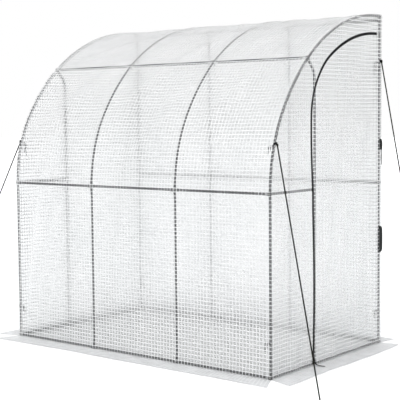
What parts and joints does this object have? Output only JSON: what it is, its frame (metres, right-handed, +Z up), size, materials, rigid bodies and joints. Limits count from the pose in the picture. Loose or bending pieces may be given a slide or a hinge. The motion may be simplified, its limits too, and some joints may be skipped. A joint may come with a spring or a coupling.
{
  "type": "lean-to tunnel greenhouse",
  "caption": "Walk-in lean-to tunnel greenhouse: bent steel tube hoops under a clear grid-reinforced film cover with ground skirts, a zipped end door and guy ropes.",
  "frame": {"origin": "on the ground, at the middle of the whole footprint with the pegs", "axes": "+X along the tunnel towards the door end, front at -Y, +Z up"},
  "size_m": [3.51, 1.9316, 2.1456],
  "materials": {
    "galvanised_tube": "dull galvanised, light spangle",
    "grid_film": "clear polyethylene film with a white reinforcing grid",
    "zip": "black coil zip on black tape",
    "webbing": "black woven webbing",
    "tie_cord": "grey woven tape",
    "guy_rope": "black braided rope",
    "peg_steel": "galvanised round bar"
  },
  "bodies": {
    "root": {"front_leg_1": "galvanised_tube", "front_leg_2": "galvanised_tube", "front_leg_3": "galvanised_tube", "front_leg_4": "galvanised_tube", "hoop_1": "galvanised_tube", "hoop_2": "galvanised_tube", "hoop_3": "galvanised_tube", "hoop_4": "galvanised_tube", "rear_post_1": "galvanised_tube", "rear_post_2": "galvanised_tube", "rear_post_3": "galvanised_tube", "rear_post_4": "galvanised_tube", "left_door_post": "galvanised_tube", "right_door_post": "galvanised_tube", "front_base_rail": "galvanised_tube", "front_mid_rail": "galvanised_tube", "roof_purlin": "galvanised_tube", "rear_base_rail": "galvanised_tube", "rear_mid_rail": "galvanised_tube", "rear_top_rail": "galvanised_tube", "left_base_rail": "galvanised_tube", "right_base_rail": "galvanised_tube", "left_mid_rail": "galvanised_tube", "right_mid_rail": "galvanised_tube", "front_roof_cover": "grid_film", "rear_cover": "grid_film", "left_end_cover": "grid_film", "right_end_cover": "grid_film", "door_flap": "grid_film", "front_skirt": "grid_film", "rear_skirt": "grid_film", "left_skirt": "grid_film", "right_skirt": "grid_film", "door_zip": "zip", "door_straps": "webbing", "guy_tabs": "webbing", "cover_ties": "tie_cord", "front_left_guy_rope": "guy_rope", "front_right_guy_rope": "guy_rope", "rear_left_guy_rope": "guy_rope", "rear_right_guy_rope": "guy_rope", "front_left_guy_peg": "peg_steel", "front_right_guy_peg": "peg_steel", "rear_left_guy_peg": "peg_steel", "rear_right_guy_peg": "peg_steel"}
  },
  "joints": []
}
